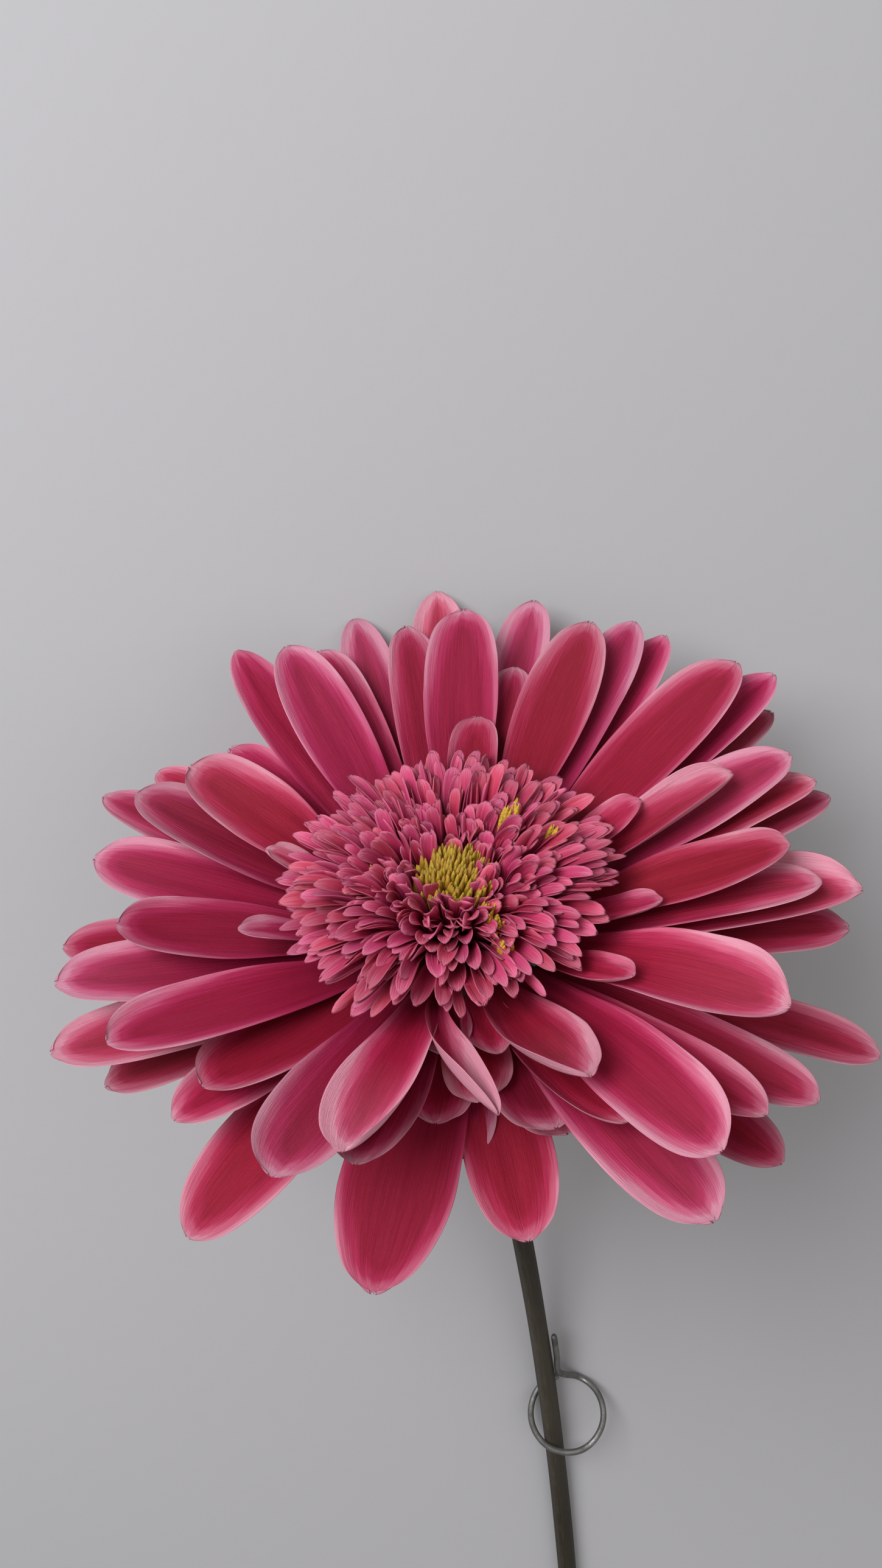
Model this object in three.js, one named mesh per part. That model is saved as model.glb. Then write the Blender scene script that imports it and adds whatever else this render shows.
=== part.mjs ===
// A cut gerbera lying on a flat surface: a leafless stem that arches up to the flower head, the head on its
// side with its lowest ray petals on the surface, and a loose wire ring round the stem.
// Millimetres, +Z up. The stem runs towards -Y. The origin is on the surface, under the flower's middle.
import * as THREE from "three";

const GAP = 0.3; // between pieces that touch

// Flower head, in its own frame: +Z out of the face, +Y towards the petals on the surface ("12 o'clock").
const HEAD_TILT = 30; // degrees that the face looks up from the horizon
const RECEPTACLE_RADIUS = 12.6;
const RECEPTACLE_TOP = 0.8;
const RECEPTACLE_WALL = 9.4; // height of the upright wall that carries the petals
const RECEPTACLE_DEPTH = 14.8; // from the top down to the neck
const NECK_RADIUS = 4.4;
const SHOULDER = [0.84, 0.2]; // of the receptacle's radius, and of its depth above the neck

// Ray petals: rings of petals one above the other, each ring steeper than the one below.
const PETAL_LENGTH = 42;
const PETAL_WIDTH = 10.5;
const PETAL_THICKNESS = 0.6;
const PETAL_CLAW = 0.34; // width at the foot, as a share of the full width
const PETAL_WIDEST = 0.64; // where along its length a petal is widest
const PETAL_CUP = 0.09; // how far the edges rise, as a share of half the width
const PETAL_TIP = 0.14; // width of the tip's end, as a share of the full width
const PETAL_ROWS = 6;
const PETAL_COLUMNS = 4;
const ROW_CROWDING = 1.6; // above 1, the rows lie closer together towards the tip
const RING_STEP = 1.25; // from one ring's foot to the next
const SURFACE_LIFT = 17; // degrees that the surface pushes up the petals at 12 o'clock
const SURFACE_SQUEEZE = 0.5; // share of their rings' lifts that it takes away there
const RESTING_EXTRA = 4; // length beyond the typical that just reaches the surface
const RESTING_RING = 1;

// Each petal: azimuth clockwise from 12 o'clock (deg), then what it has beyond a typical petal: length (mm),
// width (mm), lift (deg), roll (deg), and how far its tip swings clockwise (mm).
const RINGS = [
  {
    lift: -7,
    curl: -4,
    petals: [
      [118, 3, -2.5, 0, -3, 0],
      [138, -2, -1.5, 0, 3, 0],
      [174, -12, 0.5, -13, 3, 0],
      [196, -6, 4, -11, -3, 2],
      [224, -2, 1.5, -3, 4, 0],
      [250, -4, -1, 0, -3, 0],
    ],
  },
  {
    lift: 2,
    curl: 2,
    petals: [
      [80, 2, -2, 0, 3, 0],
      [104, -2, -1.5, 0, -3, 0],
      [132, -1, -0.5, 0, 3, 0],
      [153, -0.5, 1, 0, -3, 0],
      [234, -9, -1.5, 0, 3, 0],
      [252, 1, 0, 0, 3, 0],
      [270, -1, -1, 0, -3, 0],
      [298, 3, -1.5, 0, -3, 0],
      [350, 9, -1.5, 4, -3, 0],
    ],
  },
  {
    lift: 9,
    curl: 4,
    petals: [
      [4, 7, -1.5, 0, -3, 0],
      [20, 5, -1.5, 0, 3, 0],
      [43, 4, -2, 0, 3, 0],
      [61, 7, -1.5, 0, -3, 0],
      [102, 0, 0.5, 0, 4, 0],
      [158, -14, -1, 0, 3, -2],
      [201, -14, 0, 0, -3, 0],
      [232, -13, 1, 0, -4, 0],
      [259, -1, 0.5, 0, 3, 0],
      [283, -3, 1, 0, -3, 0],
      [316, -9, -1, 0, 3, 0],
      [342, 0, -1, 0, 3, 0],
    ],
  },
  {
    lift: 14,
    curl: 6,
    petals: [
      [20, -10, -2.5, 0, 0, 0],
      [39, 2, -1.5, 0, -3, 0],
      [58, 3, 1.5, 0, 3, 0],
      [77, -2, -0.5, 0, -3, 0],
      [103, -5, -1.5, 0, 4, 0],
      [147, -1, 0.5, 0, -3, 4],
      [209, -6, 0.5, 0, 4, 0],
      [243, -5, 0, 0, -3, 0],
      [266, -9, 0, 0, 3, 0],
      [295, -5, 0.5, 0, -3, 0],
      [328, 3, -1.5, 0, 3, 0],
      [358, -2, -2, 0, -3, 0],
    ],
  },
  {
    lift: 19,
    curl: 6,
    petals: [
      [9, -2, 0.5, 0, 3, 0],
      [33, -2, 0.5, 0, -3, 0],
      [78, -11, -3.5, 0, 0, 0],
      [99, -8, -0.5, 0, 3, 0],
      [126, -4, 1.5, 0, -3, 5],
      [163, -16, -0.5, 0, 3, -2.5],
      [198, -8, -0.5, 0, -3, 1],
      [303, -10, 0.5, 0, 3, 0],
      [335, -2, 0, 0, -3, 0],
    ],
  },
  {
    lift: 22,
    curl: 6,
    petals: [
      [14, -22, -3, 0, 0, 0],
      [72, -24, -4.5, 0, 0, 0],
      [109, -25, -5.5, 0, 0, 0],
      [135, -24, -5, 0, 0, 0],
      [192, -16, -6.3, -4, 0, -10.5],
    ],
  },
];

// Disc: florets in an outer and an inner ruff, round a button of closed ones.
const RUFF_RADIUS = 24.6;
const RUFF_SLOPE = 28.6; // degrees that its underside rises, clear of the short inner rays
const RUFF_EDGE = 1.3; // thickness at the outer edge
const RUFF_FULLNESS = 1.9; // from that edge's top to the crown
const RUFF_FLORETS = 34;
const RUFF_TEETH = 1.8;
const INNER_RUFF_RADIUS = 15.7;
const INNER_RUFF_FLORETS = 22;
const INNER_RUFF_TEETH = 1.2;
const BUTTON_RADIUS = 5.3;
const BUTTON_HEIGHT = 7.8;

// Involucre: green bracts under the petals.
const BRACT_REACH = 4; // past the receptacle's radius
const BRACT_TEETH = 21;
const BRACT_TOOTH = 1.6;

// Stem: arches down from the neck, then lies on the surface.
const STEM_TOP_RADIUS = 3.4;
const STEM_RADIUS = 1.85;
const STEM_CUT_RADIUS = 1.65;
const STEM_FLARE = 14; // length over which it widens under the head
const LYING_LENGTH = 150;
const STEM_BOW = 7; // sideways
const STEM_BOW_LENGTH = 240; // from the neck to where the bow crosses back
const CUT_SLANT = 0.6; // slope of the cut
const NECK_GAP = 0.9; // leaves room for the stem's slanted start
const STEM_STEPS = 26;
const STEM_SIDES = 10;

// Wire ring: one open turn round the stem, with its start laid along the stem.
const WIRE_RADIUS = 0.6;
const WIRE_RING_RADIUS = 6.9;
const WIRE_TAIL = 12;
const WIRE_PLACE = 27; // from where the stem meets the surface, towards the head
const WIRE_SLACK = 1.4; // from the inside of the ring to the stem, on the nearer side
const WIRE_OPENING = [-6, 24]; // degrees round the ring, between its end and its start
const WIRE_STEPS = 44;
const WIRE_SIDES = 6;

const STEM_LOOK = { color: 0x4a4634, roughness: 0.6, metalness: 0 };
const BRACT_LOOK = { color: 0x4f5a2e, roughness: 0.7, metalness: 0 };
const PETAL_LOOK = { color: 0xa52850, roughness: 0.65, metalness: 0 };
const FLORET_LOOK = { color: 0xbe5a78, roughness: 0.7, metalness: 0 };
const BUTTON_LOOK = { color: 0x9a7424, roughness: 0.8, metalness: 0 };
const WIRE_LOOK = { color: 0x8a8a88, roughness: 0.35, metalness: 0.9 };

const DEG = Math.PI / 180;
const UP = new THREE.Vector3(0, 0, 1);
const vec = (x, y, z) => new THREE.Vector3(x, y, z);
const smooth = (t) => t * t * (3 - 2 * t);

// A closed body through rings of points. Seen along the way the rings go, each ring runs clockwise.
// The end rings are capped, or else joined to one another.
function skin(rings, joined = false) {
  const around = rings[0].length;
  const points = rings.flat().flatMap((p) => [p.x, p.y, p.z]);
  const faces = [];
  const spans = joined ? rings.length : rings.length - 1;
  for (let i = 0; i < spans; i++) {
    const a = i * around;
    const b = ((i + 1) % rings.length) * around;
    for (let j = 0; j < around; j++) {
      const k = (j + 1) % around;
      faces.push(a + j, b + k, b + j, a + j, a + k, b + k);
    }
  }
  if (!joined) {
    const last = spans * around;
    for (let j = 1; j < around - 1; j++) {
      faces.push(0, j + 1, j);
      faces.push(last, last + j, last + j + 1);
    }
  }
  const geometry = new THREE.BufferGeometry();
  geometry.setAttribute("position", new THREE.Float32BufferAttribute(points, 3));
  geometry.setIndex(faces);
  geometry.computeVertexNormals();
  return geometry;
}

// A round bar along a path of points; radius is a function of the point's number.
function bar(path, radius, sides) {
  const rings = [];
  let normal = UP.clone();
  for (let i = 0; i < path.length; i++) {
    const ahead = path[Math.min(i + 1, path.length - 1)];
    const along = ahead.clone().sub(path[Math.max(i - 1, 0)]).normalize();
    normal = normal.clone().addScaledVector(along, -normal.dot(along)).normalize();
    const side = along.clone().cross(normal);
    const ring = [];
    for (let j = 0; j < sides; j++) {
      const turn = (j / sides) * 2 * Math.PI;
      ring.push(
        path[i]
          .clone()
          .addScaledVector(normal, Math.cos(turn) * radius(i))
          .addScaledVector(side, Math.sin(turn) * radius(i)),
      );
    }
    rings.push(ring);
  }
  return rings;
}

// A section of [radius, height, tooth] points turned about the head's axis. The points run inwards over the
// top and outwards underneath, and every second copy is drawn in by tooth times the depth.
function toothed(section, teeth, depth) {
  const rings = [];
  for (let i = 0; i < teeth * 2; i++) {
    const turn = (i / teeth) * Math.PI;
    const pull = i % 2 ? depth : 0;
    const point = ([radius, height, tooth = 0]) => {
      const r = radius - pull * tooth;
      return vec(Math.sin(turn) * r, Math.cos(turn) * r, height);
    };
    rings.push(section.map(point));
  }
  return skin(rings, true);
}

// A [radius, height] profile, from the axis below to the axis above, turned about the head's axis.
function turned(profile, sides) {
  const points = profile.map(([radius, height]) => new THREE.Vector2(radius, height));
  return new THREE.LatheGeometry(points, sides).rotateX(Math.PI / 2);
}

// Half of a petal's width at s, from 0 at its foot to 1 at its tip, as a share of its full half width.
function outline(s) {
  if (s < PETAL_WIDEST) {
    return PETAL_CLAW + (1 - PETAL_CLAW) * smooth(s / PETAL_WIDEST) ** 0.8;
  }
  const past = (s - PETAL_WIDEST) / (1 - PETAL_WIDEST);
  return Math.sqrt(Math.max(PETAL_TIP ** 2, 1 - past ** 2.4));
}

// A petal's lift: the surface pushes up the petals near 12 o'clock and presses their rings together.
function petalLift(level, azimuth, lifted) {
  const near = (1 + Math.cos(azimuth * DEG)) / 2;
  return (RINGS[level].lift + lifted) * (1 - SURFACE_SQUEEZE * near) + SURFACE_LIFT * near;
}

function petalRings(level, azimuth, length, width, lift, roll, swing) {
  const { curl } = RINGS[level];
  const out = vec(Math.sin(azimuth * DEG), Math.cos(azimuth * DEG), 0);
  const across = vec(out.y, -out.x, 0);
  const centre = out.clone().multiplyScalar(RECEPTACLE_RADIUS + GAP + PETAL_THICKNESS);
  centre.z = RECEPTACLE_TOP - RING_STEP * (RINGS.length - level);
  const rings = [];
  let before = 0;
  for (let i = 0; i <= PETAL_ROWS; i++) {
    const s = 1 - (1 - i / PETAL_ROWS) ** ROW_CROWDING;
    const slope = (lift + curl * ((s + before) / 2 - 0.5)) * DEG;
    centre.addScaledVector(out, Math.cos(slope) * (s - before) * length);
    centre.addScaledVector(UP, Math.sin(slope) * (s - before) * length);
    before = s;
    const pitch = (lift + curl * (s - 0.5)) * DEG;
    const normal = UP.clone().multiplyScalar(Math.cos(pitch)).addScaledVector(out, -Math.sin(pitch));
    const side = across.clone().applyAxisAngle(out, -roll * s * DEG);
    const face = normal.clone().applyAxisAngle(out, -roll * s * DEG);
    const reach = (width / 2) * outline(s);
    const middle = centre.clone().addScaledVector(across, swing * s * s);
    const section = [];
    const add = (v, thickness) => {
      const rise = PETAL_CUP * reach * v * v + thickness * (1 - v * v);
      section.push(middle.clone().addScaledVector(side, v * reach).addScaledVector(face, rise));
    };
    for (let j = 0; j < PETAL_COLUMNS; j++) {
      add(-1 + (2 * j) / PETAL_COLUMNS, PETAL_THICKNESS / 2);
    }
    for (let j = 0; j < PETAL_COLUMNS; j++) {
      add(1 - (2 * j) / PETAL_COLUMNS, -PETAL_THICKNESS / 2);
    }
    rings.push(section);
  }
  return rings;
}

// How far a petal reaches down from the head's centre, in millimetres.
function reachDown(rings) {
  const down = (p) => p.y * Math.cos(HEAD_TILT * DEG) - p.z * Math.sin(HEAD_TILT * DEG);
  return Math.max(...rings.flat().map(down));
}

const headHeight = reachDown(
  petalRings(
    RESTING_RING,
    0,
    PETAL_LENGTH + RESTING_EXTRA,
    PETAL_WIDTH,
    petalLift(RESTING_RING, 0, 0),
    0,
    0,
  ),
);

// A petal is as long as its row says, or as the surface leaves room for.
function petal(level, [azimuth, longer, wider, lifted, roll, swing]) {
  const lift = petalLift(level, azimuth, lifted);
  let length = PETAL_LENGTH + longer;
  let rings = petalRings(level, azimuth, length, PETAL_WIDTH + wider, lift, roll, swing);
  let below = reachDown(rings) - headHeight;
  while (below > 0.02) {
    length -= below;
    rings = petalRings(level, azimuth, length, PETAL_WIDTH + wider, lift, roll, swing);
    below = reachDown(rings) - headHeight;
  }
  return skin(rings);
}

function named(name, geometry, look) {
  const mesh = new THREE.Mesh(geometry, new THREE.MeshStandardMaterial(look));
  mesh.name = name;
  return mesh;
}

const group = new THREE.Group();
const head = new THREE.Group();
head.position.z = headHeight;
head.rotation.x = (HEAD_TILT - 90) * DEG;
group.add(head);

const neck = RECEPTACLE_TOP - RECEPTACLE_DEPTH;
const wallFoot = RECEPTACLE_TOP - RECEPTACLE_WALL;
const shoulderRadius = RECEPTACLE_RADIUS * SHOULDER[0];
const shoulder = neck + RECEPTACLE_DEPTH * SHOULDER[1];
const receptacle = turned(
  [
    [0, neck],
    [NECK_RADIUS, neck],
    [shoulderRadius, shoulder],
    [RECEPTACLE_RADIUS, wallFoot],
    [RECEPTACLE_RADIUS, RECEPTACLE_TOP],
    [0, RECEPTACLE_TOP],
  ],
  28,
);
head.add(named("receptacle", receptacle, BRACT_LOOK));

const involucre = toothed(
  [
    [RECEPTACLE_RADIUS + BRACT_REACH, wallFoot - 0.7, 1],
    [RECEPTACLE_RADIUS + GAP * 2, wallFoot - 0.4],
    [shoulderRadius + GAP * 1.2, shoulder - GAP],
    [NECK_RADIUS + GAP, neck - GAP],
    [NECK_RADIUS + 2.4, neck - 0.5],
    [shoulderRadius + 2, shoulder - 0.6],
    [RECEPTACLE_RADIUS + BRACT_REACH - 0.2, wallFoot - 1.3, 1],
  ],
  BRACT_TEETH,
  BRACT_TOOTH,
);
head.add(named("involucre", involucre, BRACT_LOOK));

const discFoot = RECEPTACLE_TOP + GAP;
const underside = (radius) => discFoot + (radius - RECEPTACLE_RADIUS) * Math.tan(RUFF_SLOPE * DEG);
const crown = underside(RUFF_RADIUS) + RUFF_EDGE + RUFF_FULLNESS;
const ruffInside = INNER_RUFF_RADIUS + GAP;
const outerRuff = toothed(
  [
    [RUFF_RADIUS, underside(RUFF_RADIUS) + RUFF_EDGE, 1],
    [RUFF_RADIUS - 2.6, crown - 0.5, 0.6],
    [RUFF_RADIUS - 5.6, crown, 0.1],
    [ruffInside, crown - 0.8],
    [ruffInside, underside(ruffInside)],
    [RUFF_RADIUS - 0.3, underside(RUFF_RADIUS - 0.3), 1],
  ],
  RUFF_FLORETS,
  RUFF_TEETH,
);
head.add(named("disc_florets_outer", outerRuff, FLORET_LOOK));

const hole = BUTTON_RADIUS + GAP;
const innerRuff = toothed(
  [
    [INNER_RUFF_RADIUS, crown - 0.9, 0.5],
    [INNER_RUFF_RADIUS - 2.8, crown - 0.1, 0.3],
    [hole + 3, crown - 0.8],
    [hole, crown - 2.4],
    [hole, discFoot],
    [RECEPTACLE_RADIUS, discFoot],
    [INNER_RUFF_RADIUS, underside(INNER_RUFF_RADIUS), 0.3],
  ],
  INNER_RUFF_FLORETS,
  INNER_RUFF_TEETH,
);
head.add(named("disc_florets_inner", innerRuff, FLORET_LOOK));

const button = turned(
  [
    [0, discFoot],
    [BUTTON_RADIUS * 0.9, discFoot],
    [BUTTON_RADIUS, discFoot + BUTTON_HEIGHT * 0.45],
    [BUTTON_RADIUS * 0.86, discFoot + BUTTON_HEIGHT * 0.78],
    [BUTTON_RADIUS * 0.5, discFoot + BUTTON_HEIGHT * 0.95],
    [0, discFoot + BUTTON_HEIGHT],
  ],
  16,
);
head.add(named("disc_centre", button, BUTTON_LOOK));

RINGS.forEach(({ petals }, level) => {
  petals.forEach((row, number) => {
    const name = `ray_petal_${level + 1}_${String(number + 1).padStart(2, "0")}`;
    head.add(named(name, petal(level, row), PETAL_LOOK));
  });
});

// The stem leaves the neck along the head's axis and levels out where it meets the surface.
const neckAt = vec(0, 0, neck - NECK_GAP).applyEuler(head.rotation).add(head.position);
const archRadius = (neckAt.z - STEM_TOP_RADIUS) / (1 - Math.cos(HEAD_TILT * DEG));
const archLength = archRadius * HEAD_TILT * DEG;
const archReach = archRadius * Math.sin(HEAD_TILT * DEG);
const stemLength = archLength + LYING_LENGTH;
const stemRadius = (s) => {
  const flare = Math.max(0, 1 - s / STEM_FLARE);
  const taper = STEM_RADIUS + ((STEM_CUT_RADIUS - STEM_RADIUS) * s) / stemLength;
  return taper + (STEM_TOP_RADIUS - STEM_RADIUS) * flare * flare;
};
const stemAt = (s) => {
  const slope = Math.max(0, 1 - s / archLength) * HEAD_TILT * DEG;
  const past = Math.max(0, s - archLength);
  return vec(
    STEM_BOW * Math.sin((Math.PI * s) / STEM_BOW_LENGTH),
    neckAt.y - archReach + archRadius * Math.sin(slope) - past,
    stemRadius(s) + archRadius * (1 - Math.cos(slope)),
  );
};
const stemPath = [];
for (let i = 0; i <= STEM_STEPS; i++) stemPath.push((stemLength * i) / STEM_STEPS);
const stem = bar(stemPath.map(stemAt), (i) => stemRadius(stemPath[i]), STEM_SIDES);
for (const point of stem[STEM_STEPS]) {
  point.y -= CUT_SLANT * (point.z - STEM_CUT_RADIUS);
}
group.add(named("stem", skin(stem), STEM_LOOK));

// The ring rests on the surface under the stem on the head's side, and on top of the stem on the other.
const ringPlace = archLength - WIRE_PLACE;
const ringStem = stemAt(ringPlace);
const crossing = ringPlace + WIRE_RING_RADIUS;
const low = WIRE_RADIUS;
const over = stemAt(crossing).z + stemRadius(crossing) + GAP * 2 + WIRE_RADIUS;
const hang = WIRE_RING_RADIUS - WIRE_RADIUS - WIRE_SLACK - stemRadius(ringPlace);
const crossingShare = Math.sqrt(1 - (hang / WIRE_RING_RADIUS) ** 2);
const rise = (over - low) / (1 + crossingShare);
const ringTilt = Math.asin(rise / WIRE_RING_RADIUS);
const onRing = (degrees) => {
  const forward = Math.cos(degrees * DEG) * WIRE_RING_RADIUS;
  return vec(
    ringStem.x + hang + Math.sin(degrees * DEG) * WIRE_RING_RADIUS,
    ringStem.y + Math.cos(ringTilt) * forward,
    low + rise - Math.sin(ringTilt) * forward,
  );
};
const beside = stemRadius(ringPlace) + GAP + WIRE_RADIUS;
const tail = (share) => {
  const at = stemAt(ringPlace - WIRE_RING_RADIUS - WIRE_TAIL * share);
  return at.add(vec(beside, 0, 0));
};
const wirePoints = [tail(1), tail(0.6), tail(0.25)];
const turnEnd = 360 + WIRE_OPENING[0];
const RING_KNOTS = 16;
for (let i = 0; i <= RING_KNOTS; i++) {
  wirePoints.push(onRing(WIRE_OPENING[1] + ((turnEnd - WIRE_OPENING[1]) * i) / RING_KNOTS));
}
const wirePath = new THREE.CatmullRomCurve3(wirePoints).getSpacedPoints(WIRE_STEPS);
group.add(named("wire_ring", skin(bar(wirePath, () => WIRE_RADIUS, WIRE_SIDES)), WIRE_LOOK));

group.updateMatrixWorld(true);
const box = new THREE.Box3().setFromObject(group, true);
const middle = box.getCenter(vec(0, 0, 0));
group.position.set(-middle.x, -middle.y, -box.min.z);

export default group;
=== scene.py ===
"""A cut gerbera lying on a pale surface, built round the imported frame."""
import math

import bpy
import numpy as np
from mathutils import Matrix, Vector


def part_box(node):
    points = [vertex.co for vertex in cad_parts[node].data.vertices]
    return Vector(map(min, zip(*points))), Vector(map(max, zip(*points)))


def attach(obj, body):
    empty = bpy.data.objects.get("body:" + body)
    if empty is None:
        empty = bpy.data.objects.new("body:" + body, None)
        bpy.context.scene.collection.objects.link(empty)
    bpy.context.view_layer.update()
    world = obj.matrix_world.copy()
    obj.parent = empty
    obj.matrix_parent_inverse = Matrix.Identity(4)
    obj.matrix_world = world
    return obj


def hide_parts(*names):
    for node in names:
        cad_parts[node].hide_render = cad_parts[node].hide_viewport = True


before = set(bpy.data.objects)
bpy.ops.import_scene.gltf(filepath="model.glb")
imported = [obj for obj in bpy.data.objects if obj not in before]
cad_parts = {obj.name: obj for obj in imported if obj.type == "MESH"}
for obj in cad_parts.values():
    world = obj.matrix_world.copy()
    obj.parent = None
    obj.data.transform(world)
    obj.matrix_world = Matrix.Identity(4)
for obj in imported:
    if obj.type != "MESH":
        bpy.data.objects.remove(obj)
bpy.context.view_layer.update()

rng = np.random.default_rng(21)

# ---------------------------------------------------------------- the head's own frame, in millimetres
# +Z out of the face, +Y towards the petals on the surface ("12 o'clock"), +X as in the world.
HEAD_TILT = math.radians(30)
HEAD_AXES = np.array([
    [1.0, 0.0, 0.0],
    [0.0, math.sin(HEAD_TILT), -math.cos(HEAD_TILT)],
    [0.0, math.cos(HEAD_TILT), math.sin(HEAD_TILT)],
])
RECEPTACLE_RADIUS = 12.6
RECEPTACLE_TOP = 0.8
RECEPTACLE_DEPTH = 14.8
NECK_RADIUS = 4.4
NECK = RECEPTACLE_TOP - RECEPTACLE_DEPTH
GAP = 0.3  # between pieces that touch
MM = 0.001
UP = np.array([0, 0, 1.0])

# The receptacle's upper corners give the head's place.
receptacle_low, receptacle_high = (np.array(corner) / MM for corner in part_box("receptacle"))
HEAD = np.array([
    (receptacle_low[0] + receptacle_high[0]) / 2,
    receptacle_high[1] - RECEPTACLE_RADIUS * math.sin(HEAD_TILT) - RECEPTACLE_TOP * math.cos(HEAD_TILT),
    receptacle_high[2] - RECEPTACLE_RADIUS * math.cos(HEAD_TILT) - RECEPTACLE_TOP * math.sin(HEAD_TILT),
])


def to_world(points):
    """Head-frame millimetres to world millimetres."""
    return np.asarray(points) @ HEAD_AXES + HEAD


def smooth(t):
    """Rises from 0 to 1 with no corner at either end."""
    t = np.clip(t, 0, 1)
    return t * t * (3 - 2 * t)


def unit(vectors):
    """The same directions, each of length 1."""
    return vectors / np.linalg.norm(vectors, axis=-1, keepdims=True)


def directions(azimuth):
    """Outwards, and clockwise across it, at an angle in radians from 12 o'clock."""
    out = np.array([math.sin(azimuth), math.cos(azimuth), 0])
    return out, np.array([out[1], -out[0], 0])


def bump_at(azimuth, degrees, spread):
    """1 at that azimuth, falling off to nothing on both sides of it."""
    return math.exp(-((math.degrees(azimuth) % 360 - degrees) / spread) ** 2)


# ---------------------------------------------------------------- mesh helpers
class Shape:
    """Vertices, faces and per-vertex values of one piece, gathered from several parts."""

    def __init__(self):
        self.points, self.faces, self.values, self.count = [], [], {}, 0

    def add(self, points, faces, **values):
        self.points.append(points)
        self.faces.extend([[int(i) + self.count for i in face] for face in faces])
        for name, value in values.items():
            self.values.setdefault(name, []).append(np.broadcast_to(value, len(points)))
        self.count += len(points)

    def piece(self, name, material, slot, nodes=()):
        """Makes the object, which stands for the CAD nodes named."""
        mesh = bpy.data.meshes.new(name)
        mesh.from_pydata((np.concatenate(self.points) * MM).tolist(), [], self.faces)
        for key, parts in self.values.items():
            layer = mesh.attributes.new(key, "FLOAT", "POINT")
            layer.data.foreach_set("value", np.concatenate(parts).astype(np.float32))
        mesh.polygons.foreach_set("use_smooth", [True] * len(mesh.polygons))
        mesh.materials.append(material)
        mesh.update()
        item = bpy.data.objects.new(name, mesh)
        bpy.context.scene.collection.objects.link(item)
        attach(item, "root")
        if nodes:
            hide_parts(*nodes)


def blade(middle, side, face, half, across, rise, thickness):
    """A closed thin leaf. middle, side and face are (n, 3); half is (n,); across runs -1 to 1; rise and
    thickness are (n, m). Gives its points, faces, and for each point its row, its column and its back: 1 on
    the underside and 0 on the face."""
    n, m = len(middle), len(across)
    centre = middle[:, None] + side[:, None] * (half[:, None] * across)[..., None]
    centre = centre + face[:, None] * rise[..., None]
    upper = centre + face[:, None] * (thickness / 2)[..., None]
    lower = centre - face[:, None] * (thickness / 2)[..., None]
    inside = np.zeros((n, m), bool)
    inside[1:-1, 1:-1] = True
    top = np.arange(n * m).reshape(n, m)
    bottom = top.copy()
    bottom[inside] = n * m + np.arange(inside.sum())
    points = np.concatenate([upper.reshape(-1, 3), lower[inside]])
    quads = np.stack([top[:-1, :-1], top[:-1, 1:], top[1:, 1:], top[1:, :-1]], -1).reshape(-1, 4)
    under = np.stack([bottom[:-1, :-1], bottom[1:, :-1], bottom[1:, 1:], bottom[:-1, 1:]], -1).reshape(-1, 4)
    rows, columns = np.mgrid[0:n, 0:m]
    rows = np.concatenate([rows.ravel(), rows[inside]])
    columns = np.concatenate([columns.ravel(), columns[inside]])
    back = np.concatenate([np.zeros(n * m), np.ones(inside.sum())])
    return points, np.concatenate([quads, under]).tolist(), rows, columns, back


def skin(count, sides):
    """Faces of a closed bar made of count rings with that many sides."""
    grid = np.arange(count * sides).reshape(count, sides)
    beside = np.roll(grid, -1, axis=1)
    faces = np.stack([grid[:-1], beside[:-1], beside[1:], grid[1:]], -1).reshape(-1, 4)[:, ::-1].tolist()
    return faces + [grid[0].tolist(), grid[-1][::-1].tolist()]


def tube(path, radii, sides):
    """A closed bar along a path; radii is (n,) or (n, sides)."""
    path = np.asarray(path, float)
    along = unit(np.gradient(path, axis=0))
    normal = UP
    turn = np.arange(sides) / sides * 2 * math.pi
    radii = np.asarray(radii, float)
    if radii.ndim == 1:
        radii = np.repeat(radii[:, None], sides, 1)
    points = []
    for i, here in enumerate(path):
        normal = unit(normal - along[i] * normal.dot(along[i]))
        side = np.cross(along[i], normal)
        offset = np.cos(turn)[:, None] * normal + np.sin(turn)[:, None] * side
        points.append(here + offset * radii[i][:, None])
    return np.concatenate(points), skin(len(path), sides)


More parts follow.
